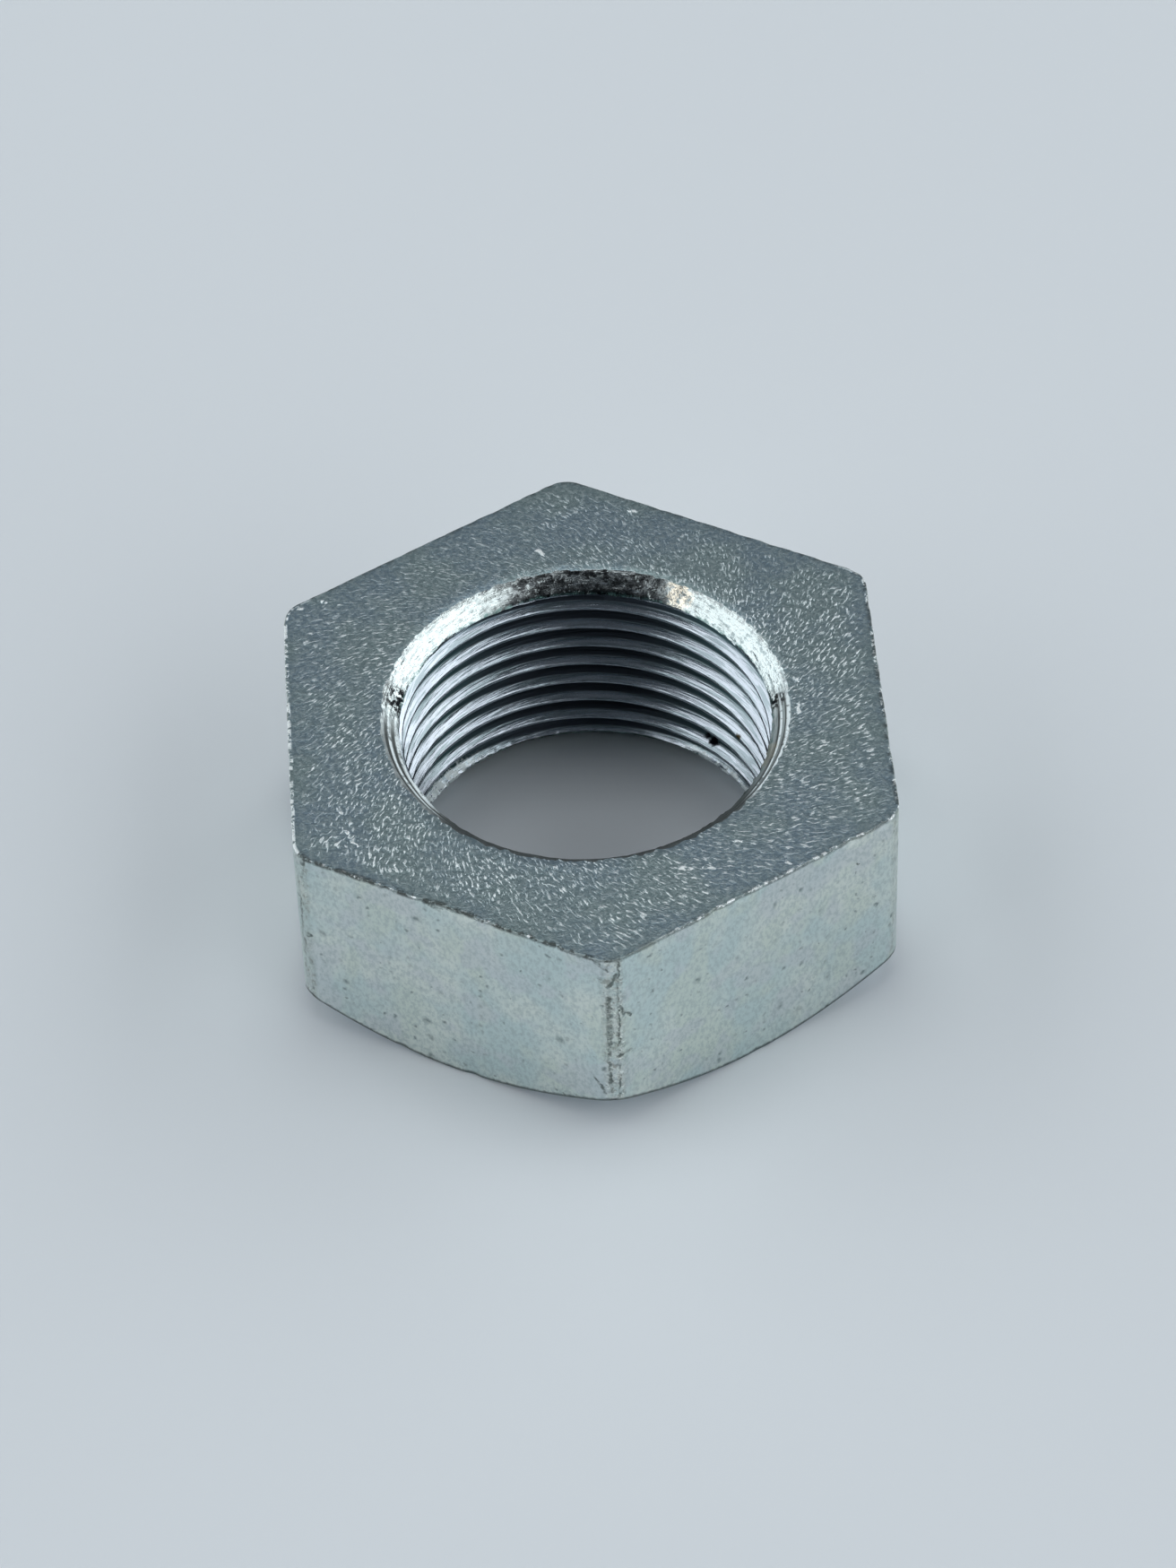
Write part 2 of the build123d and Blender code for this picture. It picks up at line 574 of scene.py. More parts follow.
# The plating's colours: mostly the metal's own, with some that paint shade, shadow or highlights.
plating = {
    # the flats
    "zinc": (0.745, 0.80, 0.75, 1),
    "blueZinc": (0.61, 0.72, 0.71, 1),
    "greenZinc": (0.68, 0.75, 0.68, 1),
    "mauveZinc": (0.65, 0.69, 0.71, 1),
    "dullZinc": (0.39, 0.475, 0.475, 1),
    "pitColour": (0.20, 0.25, 0.25, 1),
    # near-black, for the painted contact shadow along the flats' lower edge
    "contactShadow": (0.01, 0.019, 0.018, 1),
    "scar": (0.135, 0.165, 0.155, 1),
    "rust": (0.19, 0.175, 0.145, 1),
    "bareEdge": (0.78, 0.83, 0.79, 1),
    "tarnish": (0.40, 0.46, 0.41, 1),
    # the end faces and the upper rim
    "faceZinc": (0.25, 0.33, 0.342, 1),
    "faceBlue": (0.23, 0.31, 0.366, 1),
    "facePale": (0.475, 0.565, 0.58, 1),
    # near-white, for painted glints on the raised flecks, the listed marks and the upper rim
    "glintWhite": (0.93, 0.98, 0.98, 1),
    # dark, for dirt along the upper rim and for painted shade on the bore's lower arcs
    "scarAndShade": (0.05, 0.055, 0.05, 1),
    # the countersinks
    "coneZinc": (0.70, 0.78, 0.775, 1),
    "coneDull": (0.36, 0.43, 0.44, 1),
    "arcZinc": (0.36, 0.40, 0.40, 1),
    # near-white, for painted highlights on the lower arcs and the thread's lower fringe, partly rough
    # torn zinc
    "highlightZinc": (0.88, 0.98, 1.0, 1),
    "tornZinc": (0.34, 0.37, 0.38, 1),
    "straw": (0.95, 0.88, 0.74, 1),
    "olive": (0.38, 0.36, 0.27, 1),
    # the thread
    "threadZinc": (0.52, 0.575, 0.64, 1),
    "threadPale": (0.66, 0.725, 0.80, 1),
    # painted shade for the thread and the countersinks; two of these also draw the thread's fine lines
    # and dark dirt
    "threadShade": (0.12, 0.15, 0.19, 1),
    "tealLinesAndShade": (0.11, 0.20, 0.19, 1),
    "tealRootShade": (0.04, 0.09, 0.095, 1),
    "shadeAndDirtBlack": (0.002, 0.003, 0.005, 1),
    "crumb": (0.10, 0.085, 0.045, 1),
}


def newMaterial(name):
    material = bpy.data.materials.new(name)
    material.use_nodes = True
    return material, material.node_tree.nodes["Principled BSDF"]


def millimetres(tree):
    place = add(tree, "TexCoord").outputs["Object"]
    return stretched(place, (1 / mm, 1 / mm, 1 / mm))


def zincClouds(point, size, softness, low, high):
    tones = {"Low": plating[low], "High": plating[high]}
    inputs = {"Point": point, "Size": size, "Softness": softness, **tones}
    return useGroup("platingClouds", inputs)["Colour"]


def scratches(point, rows):
    # Several scratches, each given by its start, end and width.
    labels = ("Point", "Start", "End", "Width")
    masks = [useGroup("scratch", dict(zip(labels, (point, *row))))["Mask"] for row in rows]
    return strongest(*masks)


def smudge(point, centre, reach, grain):
    inputs = {"Point": point, "Centre": centre, "Reach": reach, "Grain": grain}
    return useGroup("smudge", inputs)["Mask"]


def layered(colour, *layers):
    # Lays colours over a ground in turn, each by its name, its strength and its mask.
    for name, strength, mask in layers:
        colour = blend(times(mask, strength), colour, plating[name])
    return colour


def finishSurface(surface, colour, roughness, height, bump):
    # Puts the varying colour, roughness and height on a metal surface. The height runs
    # from 0 to 1, and bump is what 1 stands for in millimetres.
    tree = surface.id_data
    surface.inputs["Metallic"].default_value = 1
    tree.links.new(colour, surface.inputs["Base Color"])
    tree.links.new(roughness, surface.inputs["Roughness"])
    relief = add(tree, "Bump", {"Strength": 1.0, "Distance": bump * mm, "Height": height})
    tree.links.new(relief.outputs[0], surface.inputs["Normal"])


# The upper rim, which the flats and the upper face share. Patches of noise are given, here
# and below, by their scale per millimetre, detail and roughness, and by the levels at
# which the mask starts and is full.
rimFinish = {
    "chipped": (1.5, 4.0, 0.75, 0.54, 0.46),
    "beads": (2.6, 3.0, 0.7),
    "beadShift": (3.0, 9.0, 1.0),
    "beadBand": (0.46, 0.505),
    "beadLoss": 0.12,  # how much the dirtier sides lose
    "plainMiddle": (2.5, 4.5),  # there are none near the middle, along X
    "plainBack": (11.5, 9.0),  # nor at the back, along Y
}


def rimDashes(tree, point):
    # Torn, dirty dashes along the upper rim, more of them on the dirtier sides.
    return times(patches(point, *rimFinish["chipped"]), reading(tree, "rimDirt"))


def rimGlints(tree, point):
    # Painted glints, in beads along the upper rim's torn zinc, fewer on the dirtier sides.
    beads = noise(vector("ADD", point, rimFinish["beadShift"]), *rimFinish["beads"])
    beads = minus(beads, times(reading(tree, "rimDirt"), rimFinish["beadLoss"]))
    x, y = separate(point)[:2]
    beside = fade(calc("ABSOLUTE", x), *rimFinish["plainMiddle"])
    return times(fade(beads, *rimFinish["beadBand"]), beside, fade(y, *rimFinish["plainBack"]))


# The flats. Lengths in millimetres; a band is where a mask starts and where it is full.
flatFinish = {
    "cloudSize": 4.5,
    "cloudSoftness": 0.12,
    "drawnOut": (1, 1, 0.7),  # the patterns are a little longer along the axis
    "green": (0.33, 2.0, 0.5, 0.5, 0.62),
    "mauve": (0.38, 2.0, 0.5, 0.5, 0.62),
    "mauveShift": (31.0, 17.0, 5.0),
    "speckle": (4.2, 3.0, 0.65, 0.60, 0.34),
    "wander": 0.5,  # how much pits and marks are bent
    "pitPatches": (0.5, 2.0, 0.5, 0.4, 0.56),
    "finePits": {"Spacing": 0.55, "Size": 0.16, "Share": 0.32},
    "boldPits": {"Spacing": 1.5, "Size": 0.3, "Share": 0.5},
    "lineOffset": 0.24,  # from the middle of a galled strip to the line on either side
    "lineBand": (0.13, 0.03),
    "linePatches": (1.7, 3.0, 0.7, 0.44, 0.54),
    "stripBand": (0.75, 0.35),
    "stripWander": 0.6,
    "grit": (2.4, 4.0, 0.75, 0.53, 0.63),
    "blotches": (2.2, 4.0, 0.75, 0.62, 0.42),
    "stainPatches": (1.9, 4.0, 0.7, 0.5, 0.6),
    "stain": ((0.15, -19.3, 11.6), 1.1, 0.35),  # centre, reach and grain
    "rimBand": (0.22, 0.04),  # below the upper face
    "dirtBand": (0.32, 0.05),
    "dullBand": (0.13, 0.05),
    "footBand": (0.36, 0.16),  # above the lower edge
    "roughness": 0.29,
    "grain": 0.14,
    "bump": 0.02,
    "marks": (  # start, end and width, most of them on the front corner
        ((-0.2, -19.3, 5.85), (0.34, -19.3, 5.6), 0.11),
        ((0.34, -19.3, 5.6), (1.06, -19.0, 5.85), 0.14),
        ((0.48, -19.25, 9.8), (0.67, -19.2, 9.0), 0.14),
        ((0.67, -19.2, 9.0), (1.05, -19.0, 8.7), 0.16),
        ((-1.0, -19.05, 3.6), (-0.33, -19.3, 2.45), 0.13),
        ((-0.1, -19.35, 10.5), (-0.12, -19.35, 6.3), 0.25),
        ((-0.14, -19.35, 6.2), (-0.2, -19.35, 3.1), 0.15),
        ((0.5, -19.25, 12.6), (0.42, -19.3, 9.6), 0.11),
        ((0.42, -19.3, 9.3), (0.33, -19.3, 2.2), 0.09),
        ((-0.95, -18.95, 13.45), (-0.1, -19.35, 12.7), 0.14),
        ((0.45, -19.25, 13.3), (0.47, -19.25, 12.7), 0.12),
        ((0.3, -19.3, 12.3), (-0.1, -19.35, 11.3), 0.2),
        ((-9.7, -14.0, 13.35), (-9.0, -14.35, 13.1), 0.2),
        ((-16.6, -9.9, 7.15), (-16.4, -10.1, 7.2), 0.22),
        ((-16.7, -9.75, 6.4), (-16.7, -9.75, 5.7), 0.2),
        ((-16.75, -9.6, 9.8), (-16.75, -9.6, 7.9), 0.15),
        ((-16.4, -10.05, 13.3), (-16.5, -9.95, 12.9), 0.2),
        ((14.35, -11.35, 11.4), (14.5, -11.2, 11.2), 0.10),
    ),
}


def drawnZinc(finish):
    # The flats: cold-drawn steel under bright zinc, with fine pits, and galled corners.
    material, surface = newMaterial("drawnZinc")
    tree = surface.id_data
    point = millimetres(tree)
    drawn = stretched(point, finish["drawnOut"])
    green = patches(drawn, *finish["green"])
    mauve = patches(vector("ADD", point, finish["mauveShift"]), *finish["mauve"])
    colour = zincClouds(point, finish["cloudSize"], finish["cloudSoftness"], "blueZinc", "zinc")
    colour = layered(colour, ("greenZinc", 0.75, green), ("mauveZinc", 0.6, mauve))

    # soft speckle, small pits and a few bold ones
    speckle = patches(drawn, *finish["speckle"])
    wobble = noise(point, 4.0, 2.0)
    wobbly = wobbled(point, (finish["wander"],) * 3)
    fine, bold = (
        useGroup("pits", {"Point": wobbly, **finish[name]})["Mask"]
        for name in ("finePits", "boldPits")
    )
    fine = times(fine, plus(0.35, times(patches(point, *finish["pitPatches"]), 0.5)))
    pitted = strongest(fine, times(bold, wobble, 1.3))

    # a galled strip beside each corner: broken lines along its two sides, with dark and
    # rusty specks between them
    galled = reading(tree, "galled")
    uneven = noise(point, 1.6, 3.0, 0.6)
    gap = plus(reading(tree, "cornerGap"), times(minus(uneven, 0.5), finish["stripWander"]))
    broken = patches(point, *finish["linePatches"])
    onLine = fade(gapTo(gap, finish["lineOffset"]), *finish["lineBand"])
    lines = times(onLine, broken, galled, 0.5)
    strip = times(fade(gap, *finish["stripBand"]), galled)
    grit = times(patches(stretched(point, (1, 1, 0.8)), *finish["grit"]), strip)
    worn = times(fade(uneven, 0.42, 0.58), strip)
    scratched = strongest(lines, scratches(wobbly, finish["marks"]))
    scratched = times(scratched, plus(0.3, times(patches(point, *finish["blotches"]), 0.7)))
    stain = times(smudge(point, *finish["stain"]), patches(point, *finish["stainPatches"]))
    grit = strongest(grit, stain)

    # along the upper rim, dirt, painted glints on the torn zinc between the dirt and a dull line
    below = minus(nutHigh.z / mm, separate(point)[2])
    rim = fade(below, *finish["rimBand"])
    dirt = times(fade(below, *finish["dirtBand"]), rimDashes(tree, point))
    burrGlint = times(rimGlints(tree, point), rim, minus(1.0, dirt))
    dull = fade(below, *finish["dullBand"])
    # painted contact shadow along the lower edge of the flats
    footGap = plus(reading(tree, "footGap"), times(wobble, 0.2))
    footShadow = fade(footGap, *finish["footBand"])
    pale = fade(galled, 0.92, 1.0)
    colour = layered(
        colour,
        ("dullZinc", 0.5, speckle),
        ("bareEdge", 0.8, times(worn, pale)),
        ("tarnish", 0.3, times(strip, minus(1.0, pale))),
        ("pitColour", 1.0, pitted),
        ("rust", 0.5, grit),
        ("scar", 0.9, scratched),
        ("pitColour", 0.7, dull),
        ("scarAndShade", 0.9, dirt),
        ("contactShadow", 0.75, footShadow),
        ("glintWhite", 1.0, burrGlint),
    )

    grain = noise(drawn, 1 / finish["grain"], 3.0, 0.65)
    marks = strongest(times(pitted, 0.6), scratched, grit)
    rougher = plus(times(grain, 0.1), times(strongest(marks, dirt), 0.3))
    lumps = times(noise(point, 3.4, 4.0, 0.7), strongest(strip, rim), 9.0)
    height = plus(minus(grain, times(marks, 2.0)), lumps)
    finishSurface(surface, colour, plus(finish["roughness"], rougher), height, finish["bump"])
    return material


# The end faces. Lengths in millimetres.
faceFinish = {
    "cloudSize": 4.0,
    "cloudSoftness": 0.15,
    "fleckWidth": 0.15,
    "fleckLength": 0.46,
    "fleckLean": 40.0,  # how far the flecks lean from the radius
    "fleckMiddle": 14.0,  # the radius at which they have their true size
    "fleckBand": (0.54, 0.69),  # noise levels of a fleck's edge and top; lower gives more
    "border": (0.3, 1.4),  # distances from the edge between which the flecks begin
    "backBand": (5.0, 12.0),  # where they grow fainter, along Y
    "fleckPatches": (0.5, 4.0, 0.75, 0.38, 0.62),
    "wander": 0.5,  # how much the painted glints are bent
    "sparkle": (3.3, 2.0, 0.5, 0.40, 0.50),
    "rimGlintBand": (0.24, 0.1),  # distances from the edge
    "dirtBand": (0.4, 0.1),
    "roughness": 0.32,
    "bump": 0.045,
    "glints": (  # painted glints on the upper face: start, end and width
        ((-1.9, 13.55), (-1.6, 13.1), 0.18),
        ((3.8, 16.5), (4.0, 16.4), 0.18),
        ((-14.25, -6.7), (-14.15, -6.75), 0.17),
        ((-13.95, -8.2), (-13.8, -8.7), 0.12),
        ((-13.75, -8.9), (-13.3, -9.5), 0.08),
        ((-9.65, -7.2), (-9.7, -7.5), 0.11),
        ((-9.7, -8.05), (-9.6, -8.2), 0.12),
        ((-16.1, 10.0), (-15.9, 9.9), 0.18),
        ((-14.7, 10.4), (-14.5, 10.3), 0.16),
        ((4.4, -12.75), (4.95, -12.8), 0.17),
        ((5.8, -12.8), (6.3, -12.95), 0.12),
        ((7.7, -10.95), (7.95, -11.0), 0.14),
        ((10.25, -12.7), (10.5, -12.9), 0.14),
        ((12.1, -0.6), (12.05, -1.3), 0.1),
        ((12.3, 1.6), (12.2, 1.2), 0.1),
    ),
}


def workedZinc(finish):
    # The end faces: a dull ground with short raised flecks that lie on a spiral round
    # the bore, catch the light and carry painted glints, and a smoother border along the edges.
    material, surface = newMaterial("workedZinc")
    tree = surface.id_data
    point = millimetres(tree)
    edgeGap = reading(tree, "edgeGap")
    lean = {"Lean": finish["fleckLean"], "MiddleRadius": finish["fleckMiddle"]}
    spiral = useGroup("spiral", {"Point": point, **lean})
    bend = times(minus(noise(point, 0.8, 1.0), 0.5), 0.6)
    along = calc("DIVIDE", spiral["Along"], finish["fleckLength"])
    across = calc("DIVIDE", plus(spiral["Across"], bend), finish["fleckWidth"])
    place = add(tree, "CombineXYZ", {0: along, 1: across}).outputs[0]
    raised = fade(noise(place, 1.0, 1.8, 0.55), *finish["fleckBand"])
    back = fade(separate(point)[1], *finish["backBand"])
    strength = plus(0.3, times(patches(point, *finish["fleckPatches"]), 0.7))
    strength = times(fade(edgeGap, *finish["border"]), strength)
    glintFlecks = times(raised, strength, minus(1.0, times(back, 0.4)))

    wobbly = wobbled(point, (finish["wander"], finish["wander"], 0))
    level = nutHigh.z / mm
    glints = [((*start, level), (*end, level), width) for start, end, width in finish["glints"]]
    glints = times(scratches(wobbly, glints), patches(point, *finish["sparkle"]))
    burrGlints = times(fade(edgeGap, *finish["rimGlintBand"]), rimGlints(tree, point))
    # the flecks, the listed marks and the rim all carry painted glints
    glintFlecks = strongest(glintFlecks, glints, burrGlints)
    grain = noise(point, 3.4, 4.0, 0.7)
    dirt = times(fade(edgeGap, *finish["dirtBand"]), rimDashes(tree, point))
    colour = zincClouds(point, finish["cloudSize"], finish["cloudSoftness"], "faceBlue", "faceZinc")
    colour = layered(
        colour,
        ("facePale", 0.5, fade(grain, 0.42, 0.62)),
        ("glintWhite", 1.0, glintFlecks),
        ("scarAndShade", 0.8, dirt),
    )
    roughness = plus(finish["roughness"], times(glintFlecks, 0.2))
    finishSurface(surface, colour, roughness, plus(glintFlecks, grain), finish["bump"])
    return material


# The bore. Lengths in millimetres; a band is where a mask starts and where it is full,
# as a radius unless its note says otherwise.
boreFinish = {
    "coneBand": (0.09, 0.03),  # distances from the cone within which a place belongs to it
    "chatter": {"Spacing": 0.16, "Length": 1.2},
    "rings": {"Spacing": 0.09, "Length": 9.0},
    "frontBand": (2.0, -1.0),  # where the lower arcs begin, along Y
    "sideBand": (8.2, 9.6),  # how far out their bright parts are, along X
    "teeth": (3.0, 3.0, 0.7, 0.52, 0.42),
    "toothBand": (11.38, 11.6),
    "tornMiddle": 0.6,  # middle of the countersink's torn far side, along X
    "tornBand": (6.4, 3.4),  # distances from that middle
    "tornWander": 5.0,
    "shredsAndShade": (1.9, 3.0, 0.65, 0.58, 0.44),
    "shredBand": (11.35, 10.7),
    "bareFlecks": (2.8, 3.0, 0.7, 0.57, 0.63),
    "lipPatches": (1.6, 4.0, 0.75, 0.42, 0.56),
    "lipBand": (10.98, 10.82),
    "lowBand": (2.5, 1.5),  # heights of the darker lower edge at the back
    # centre, reach and grain of each smudge
    "darkSpots": (((-10.7, 2.5, 12.5), 1.4, 0.3), ((11.0, 0.5, 12.8), 0.9, 0.3)),
    "darkPatches": (2.6, 4.0, 0.7, 0.40, 0.52),
    "warmSpot": ((6.1, 9.5, 13.1), 1.1, 0.3),
    "oilySpot": ((10.1, -3.6, 12.2), 1.3, 0.4),
    # radius and width of the dark rings round the lower arcs and of the bright strips,
    # painted highlights, on their left and right parts
    "darkRings": ((11.56, 0.09), (11.16, 0.1), (10.66, 0.06)),
    "leftStrips": ((10.93, 0.22), (11.36, 0.1)),
    "rightStrips": ((11.69, 0.14), (11.28, 0.08)),
    "stripPatches": (1.3, 3.0, 0.7, 0.38, 0.47),
    "ringWander": 0.25,
    "flankShadeBand": (10.72, 10.9),
    "rootShadeBand": (10.86, 10.98),
    "rootShift": 0.1,  # how much further out both lie on the left and the right
    "threadClouds": (2.5, 0.3),  # size and softness
    "debris": (  # specks lodged in the thread: centre, reach and colour
        ((7.92, 7.59, 2.6), 0.44, "shadeAndDirtBlack"),
        ((7.5, 8.0, 2.75), 0.3, "shadeAndDirtBlack"),
        ((9.1, 5.2, 5.2), 0.27, "crumb"),
    ),
    "debrisGrain": 0.25,
    "fringeBand": (1.95, 1.8),  # heights of the ragged lower fringe
    "fringePatches": (2.6, 3.0, 0.7, 0.42, 0.5),
    "chalk": 0.85,  # how far the rough torn zinc of the painted highlights scatters light like chalk
    "turnedRoughness": 0.22,
    "arcRoughness": 0.25,  # how much rougher the lower arcs are
    "threadRoughness": 0.22,
    "turnedBump": 0.07,
    "threadBump": 0.045,
}


def coneColour(point, finish, radius, streaky, lumps, front):
    # The countersinks: bright, duller in streaks and, as painted shade, to the right, with
    # fine dark teeth at the torn rim. The far side is torn and dull, with near-black shreds of
    # painted shade, and ends raggedly on either hand.
    x, y, z = separate(point)
    # painted shade: the cone grows duller towards the right
    streakShareAndShade = plus(0.48, times(fade(x, 0.0, 8.0), 0.3))
    streaksAndShade = times(streaky, minus(streakShareAndShade, times(front, 0.15)))
    streaksAndShade = plus(streaksAndShade, times(fade(x, 0.0, 5.0), 0.25))
    teeth = times(patches(point, *finish["teeth"]), fade(radius, *finish["toothBand"]))
    dark = strongest(*[smudge(point, *spot) for spot in finish["darkSpots"]])
    dark = times(dark, patches(point, *finish["darkPatches"]))

    torn = times(minus(noise(point, 0.9, 4.0, 0.7), 0.5), finish["tornWander"])
    aside = plus(gapTo(x, finish["tornMiddle"]), torn)
    behind = times(fade(aside, *finish["tornBand"]), fade(y, 0.0, 4.0))
    shredsAndShade = patches(stretched(point, (0.6, 1, 1)), *finish["shredsAndShade"])
    inward = fade(radius, *finish["shredBand"])
    shredsAndShade = times(behind, strongest(times(shredsAndShade, 0.85), inward))
    bare = times(behind, patches(point, *finish["bareFlecks"]))

    # a broken dark line of painted shadow where the countersink meets the thread, and a
    # darker lower edge at the back
    ragged = patches(point, *finish["lipPatches"])
    lip = fade(plus(radius, times(lumps, 0.3)), *finish["lipBand"])
    low = times(fade(z, *finish["lowBand"]), fade(y, 3.0, 8.0))
    return layered(
        blend(front, plating["coneZinc"], plating["arcZinc"]),
        ("coneDull", 1.0, streaksAndShade),
        ("tornZinc", 0.75, teeth),
        ("tornZinc", 0.9, behind),
        ("shadeAndDirtBlack", 1.0, strongest(dark, shredsAndShade)),
        ("coneZinc", 0.45, bare),
        ("tealLinesAndShade", 1.0, strongest(times(lip, ragged, 0.8), low)),
    )


def roundLines(radius, rows):
    # Lines round the axis, each given by its radius and its width.
    return strongest(*[fade(gapTo(radius, at), width, width / 3) for at, width in rows])


def arcLines(point, finish, radius, rings, front):
    # Dark rings round the lower arcs with painted shade on their nearest part, and bright
    # strips of rough torn zinc that carry a painted highlight.
    x = separate(point)[0]
    side = fade(calc("ABSOLUTE", x), *finish["sideBand"])
    ringed = plus(radius, times(rings, finish["ringWander"]))
    # painted shade on the part of the lower arcs nearest the front
    nearest = times(front, minus(0.8, times(side, 0.8)))
    arcDarkening = times(roundLines(ringed, finish["darkRings"]), front)
    onLeft = fade(x, 1.0, -1.0)
    left = times(roundLines(ringed, finish["leftStrips"]), onLeft)
    right = times(roundLines(ringed, finish["rightStrips"]), minus(1.0, onLeft))
    whole = patches(point, *finish["stripPatches"])
    return strongest(arcDarkening, nearest), times(strongest(left, right), front, side, whole)


def threadColour(point, finish, radius, lines):
    # The thread: fine lines along the turns, painted shade on the deep flanks and in the
    # roots, more painted shade at the back and on the right, and a few lodged specks. Also
    # gives its root shade and specks.
    x, y = separate(point)[:2]
    sideways = fade(calc("ABSOLUTE", x), 3.0, 9.0)
    depth = minus(radius, times(sideways, finish["rootShift"]))
    root = fade(depth, *finish["rootShadeBand"])
    thread = layered(
        zincClouds(point, *finish["threadClouds"], "threadZinc", "threadPale"),
        ("tealLinesAndShade", 0.45, fade(lines, 0.50, 0.42)),
        # painted shade on the deep flanks
        ("tealLinesAndShade", 0.35, fade(depth, *finish["flankShadeBand"])),
    )
    # painted shade in the roots, near-black in the middle and teal at the sides
    thread = blend(root, thread, blend(sideways, plating["shadeAndDirtBlack"], plating["tealRootShade"]))
    # painted shade at the back and on the right
    backShade = times(fade(y, 6.5, 10.5), 0.35)
    rightShade = times(fade(x, 2.0, 8.0), 0.18)
    thread = layered(thread, ("threadShade", 1.0, strongest(backShade, rightShade)))
    rough = [root]
    for centre, reach, tone in finish["debris"]:
        rough.append(smudge(point, centre, reach, finish["debrisGrain"]))
        thread = layered(thread, (tone, 1.0, rough[-1]))
    return thread, strongest(*rough)


def lowerFringe(point, finish):
    # A ragged fringe along the bottom of the thread, painted as a pale highlight, missing at the back.
    x, y, z = separate(point)
    frayed = plus(z, times(noise(point, 1.8, 3.0, 0.7), 0.7))
    frayed = plus(frayed, times(fade(x, -2.0, 2.0), 0.25))
    fringeHighlight = times(fade(frayed, *finish["fringeBand"]), fade(y, 9.6, 7.6))
    return times(fringeHighlight, patches(point, *finish["fringePatches"]))


def boreZinc(finish):
    # The bore. The countersinks and the chamfer are bright, with torn lathe marks round
    # the axis; the thread has fine lines along it.
    material, surface = newMaterial("boreZinc")
    tree = surface.id_data
    point = millimetres(tree)
    onCone = fade(reading(tree, "coneGap"), *finish["coneBand"])
    marks = useGroup("turning", {"Point": point, **finish["chatter"]})
    rings = useGroup("turning", {"Point": point, **finish["rings"]})["Height"]
    radius = marks["Radius"]
    lumps = noise(point, 2.7, 4.0, 0.65)
    streaky = fade(plus(marks["Height"], lumps), 0.97, 0.82)
    front = fade(separate(point)[1], *finish["frontBand"])
    # painted shade and dark rings, and painted highlights, on the lower arcs
    arcDarkening, stripHighlights = arcLines(point, finish, radius, rings, front)
    warm = times(smudge(point, *finish["warmSpot"]), fade(lumps, 0.4, 0.52))
    cone = layered(
        coneColour(point, finish, radius, streaky, lumps, front),
        ("scarAndShade", 0.85, arcDarkening),
        ("highlightZinc", 1.0, stripHighlights),
        ("straw", 1.0, warm),
    )
    lines = noise(stretched(point, (0.3, 0.3, 9)), 1.0, 3.0, 0.6)
    thread, threadRough = threadColour(point, finish, radius, lines)
    fringeHighlight = lowerFringe(point, finish)
    colour = layered(
        blend(onCone, thread, cone),
        ("olive", 0.45, smudge(point, *finish["oilySpot"])),
        ("highlightZinc", 1.0, fringeHighlight),
    )

    threadRough = plus(finish["threadRoughness"], times(threadRough, 0.3))
    coneRough = plus(finish["turnedRoughness"], times(streaky, 0.15))
    coneRough = plus(coneRough, times(front, finish["arcRoughness"]))
    coneHeight = plus(blend(front, marks["Height"], rings), times(lumps, 0.7))
    threadHeight = times(lines, finish["threadBump"] / finish["turnedBump"])
    height = blend(onCone, threadHeight, coneHeight)
    roughness = blend(onCone, threadRough, coneRough)
    finishSurface(surface, colour, roughness, height, finish["turnedBump"])
    # the painted highlights lose part of their metal finish and scatter light diffusely
    chalky = times(strongest(times(stripHighlights, onCone), fringeHighlight), finish["chalk"])
    tree.links.new(minus(1.0, chalky), surface.inputs["Metallic"])
    return material


for makeFinish, finish in ((drawnZinc, flatFinish), (workedZinc, faceFinish), (boreZinc, boreFinish)):
    nutPiece.data.materials.append(makeFinish(finish))
print("finishes:", len(nutPiece.data.materials))

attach(nutPiece, "root")
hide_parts("axle_nut")

# The floor, the softboxes and the room behind them. Lengths in metres.
studio = {
    "floorSize": 2.4,
    "floorColour": (0.70, 0.74, 0.778),
    "floorRoughness": 0.7,
    "roomColour": (0.56, 0.61, 0.69),  # round the horizon
    "ceilingColour": (0.07, 0.08, 0.09),
    "ceilingStarts": 0.36,  # as the sine of the height above the horizon
    "distance": 2.0,
    # azimuth, elevation, width, height, radiance
    "softboxes": {
        "softLeft": (172, 29.5, 3.8, 2.05, 1.4),
        "softRight": (-8, 29.5, 6.2, 2.05, 1.5),
        "softBack": (90, 40, 2.0, 0.9, 0.24),
        "softTop": (90, 78, 1.3, 0.9, 2.0),
    },
    "lampColour": (0.96, 0.99, 1.0),
}


def placement(axes, place):
    # Turns an object's own X, Y and Z to the columns of axes and moves it to place.
    return Matrix([[*axes[i], place[i]] for i in range(3)] + [[0, 0, 0, 1]])


def addFloor(studio):
    half = studio["floorSize"] / 2
    mesh = bpy.data.meshes.new("floor")
    corners = [(-half, -half, 0), (half, -half, 0), (half, half, 0), (-half, half, 0)]
    mesh.from_pydata(corners, [], [(0, 1, 2, 3)])
    floor = newObject("floor", mesh)
    material, surface = newMaterial("paleFloor")
    surface.inputs["Base Color"].default_value = (*studio["floorColour"], 1)
    surface.inputs["Roughness"].default_value = studio["floorRoughness"]
    mesh.materials.append(material)


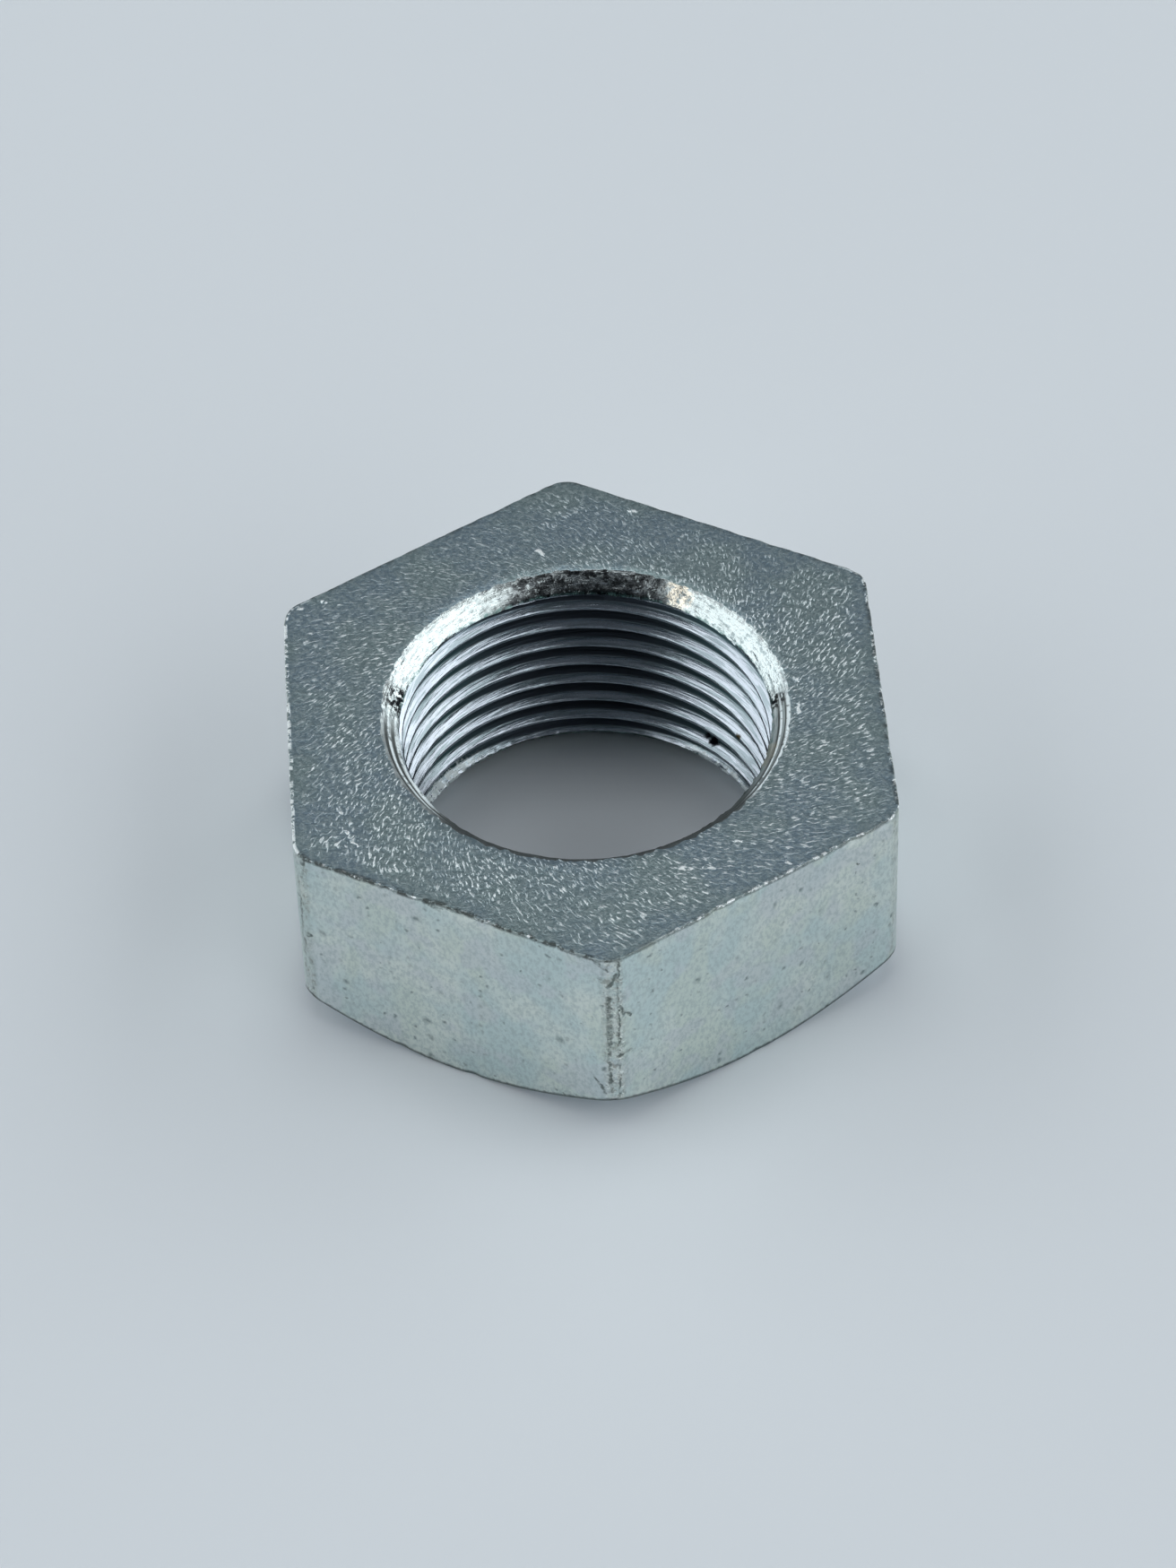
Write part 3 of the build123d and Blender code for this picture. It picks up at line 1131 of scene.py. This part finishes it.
def addRoom(studio):
    # The room is pale round the horizon and dim overhead.
    world = bpy.data.worlds.new("studio")
    bpy.context.scene.world = world
    world.use_nodes = True
    tree = world.node_tree
    place = add(tree, "TexCoord").outputs["Generated"]
    overhead = fade(separate(place)[2], studio["ceilingStarts"] / 3, studio["ceilingStarts"])
    colour = blend(overhead, (*studio["roomColour"], 1), (*studio["ceilingColour"], 1))
    tree.links.new(colour, tree.nodes["Background"].inputs["Color"])


def addSoftbox(name, azimuth, elevation, width, height, radiance):
    data = bpy.data.lights.new(name, "AREA")
    data.shape = "RECTANGLE"
    data.size, data.size_y = width, height
    data.energy = radiance * math.pi * width * height
    data.color = studio["lampColour"]
    lamp = newObject(name, data)
    a, e = math.radians(azimuth), math.radians(elevation)
    back = np.array([math.cos(a) * math.cos(e), math.sin(a) * math.cos(e), math.sin(e)])
    right = np.array([-math.sin(a), math.cos(a), 0])
    axes = np.stack([right, np.cross(back, right), back], 1)
    lamp.matrix_world = placement(axes, back * studio["distance"])
    lamp.visible_camera = False


addFloor(studio)
addRoom(studio)
for name, box in studio["softboxes"].items():
    addSoftbox(name, *box)
print("studio:", len(studio["softboxes"]), "softboxes")

view = {
    "azimuth": -2.32,
    "elevation": 45.88,
    "roll": 2.14,
    "distance": 0.3041,
    "aimRight": 0.00015,  # from the middle of the upper face to the view's middle
    "aimDown": 0.00417,
    "lens": 122.5,
    "sensor": 36.0,
}


def addCamera(view):
    a, e, roll = (math.radians(view[k]) for k in ("azimuth", "elevation", "roll"))
    back = np.array([math.sin(a) * math.cos(e), -math.cos(a) * math.cos(e), math.sin(e)])
    level = np.array([math.cos(a), math.sin(a), 0])
    down = np.cross(-back, level)
    right = math.cos(roll) * level + math.sin(roll) * down
    down = math.cos(roll) * down - math.sin(roll) * level
    middle = np.array([0, 0, nutHigh.z])
    place = middle + right * view["aimRight"] + down * view["aimDown"] + back * view["distance"]
    data = bpy.data.cameras.new("camera")
    data.lens, data.sensor_width = view["lens"], view["sensor"]
    camera = newObject("camera", data)
    camera.matrix_world = placement(np.stack([right, -down, back], 1), place)
    bpy.context.scene.camera = camera


addCamera(view)
bpy.context.scene.view_settings.view_transform = "Standard"
